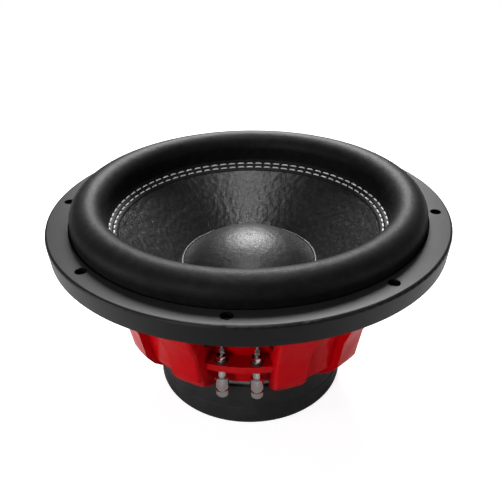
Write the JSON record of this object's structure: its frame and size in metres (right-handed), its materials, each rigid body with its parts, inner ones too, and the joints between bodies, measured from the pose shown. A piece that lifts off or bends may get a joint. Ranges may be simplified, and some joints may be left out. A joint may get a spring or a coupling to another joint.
{
  "type": "car subwoofer speaker",
  "caption": "Round car subwoofer driver: stitched half-roll surround and paper cone in a cast five-arm basket, with push terminals and a booted ferrite motor.",
  "frame": {"origin": "centre of the magnet boot's flat underside, on the speaker's axis", "axes": "+Z along the speaker's axis towards the cone; -Y towards the terminals; +X to the right seen from the terminal side"},
  "size_m": [0.318, 0.318, 0.1783],
  "materials": {
    "basket_red": "gloss powder coat",
    "trim_black": "satin moulded rubber",
    "gasket_foam": "closed-cell foam",
    "plate_zinc": "turned and zinc plated",
    "screw_black": "black oxide",
    "ferrite": "ground ferrite",
    "ring_aluminium": "turned",
    "yoke_steel": "turned and zinc plated",
    "screen_steel": "black perforated sheet",
    "boot_rubber": "matte moulded rubber",
    "nylon_black": "moulded nylon",
    "terminal_chrome": "chrome plated brass",
    "lug_tin": "tinned",
    "cone_paper": "pressed paper, dark and slightly leathery",
    "cap_paper": "pressed paper, satin",
    "former_aluminium": "thin sheet",
    "winding_copper": "enamelled copper wire",
    "collar_paper": "kraft paper",
    "spider_cloth": "resin-treated cloth",
    "surround_foam": "matte moulded foam rubber",
    "thread_white": "twisted polyester thread",
    "lead_braid": "tinsel braid",
    "spring_steel": "bright wire"
  },
  "bodies": {
    "frame": {"basket": "basket_red", "trim_ring": "trim_black", "mounting_gasket": "gasket_foam", "top_plate": "plate_zinc", "plate_screws": "screw_black", "magnet_lower": "ferrite", "magnet_upper": "ferrite", "shorting_ring": "ring_aluminium", "yoke": "yoke_steel", "vent_screen": "screen_steel", "magnet_boot": "boot_rubber", "terminal_bushes": "nylon_black", "terminal_posts": "terminal_chrome", "terminal_nuts": "terminal_chrome", "terminal_washers": "terminal_chrome", "solder_lugs": "lug_tin"},
    "cone_assembly": {"cone": "cone_paper", "dust_cap": "cap_paper", "coil_former": "former_aluminium", "coil_winding": "winding_copper", "former_collar": "collar_paper", "spider": "spider_cloth", "surround": "surround_foam", "surround_thread": "thread_white", "lead_left": "lead_braid", "lead_right": "lead_braid"},
    "left_button": {"button_left": "terminal_chrome", "button_spring_left": "spring_steel"},
    "right_button": {"button_right": "terminal_chrome", "button_spring_right": "spring_steel"}
  },
  "joints": [
    {"name": "cone_travel", "type": "slide", "parent": "frame", "child": "cone_assembly", "axis": [0, 0, 1], "range_m": [-0.012, 0.012], "stiffness_N_per_m": 6000, "deforming": ["surround", "spider", "lead_left", "lead_right"]},
    {"name": "left_button_press", "type": "slide", "parent": "frame", "child": "left_button", "axis": [0, 0, 1], "range_m": [0, 0.002], "stiffness_N_per_m": 1500, "springref_m": -0.003, "deforming": ["button_spring_left"]},
    {"name": "right_button_press", "type": "slide", "parent": "frame", "child": "right_button", "axis": [0, 0, 1], "range_m": [0, 0.002], "stiffness_N_per_m": 1500, "springref_m": -0.003, "deforming": ["button_spring_right"]}
  ]
}
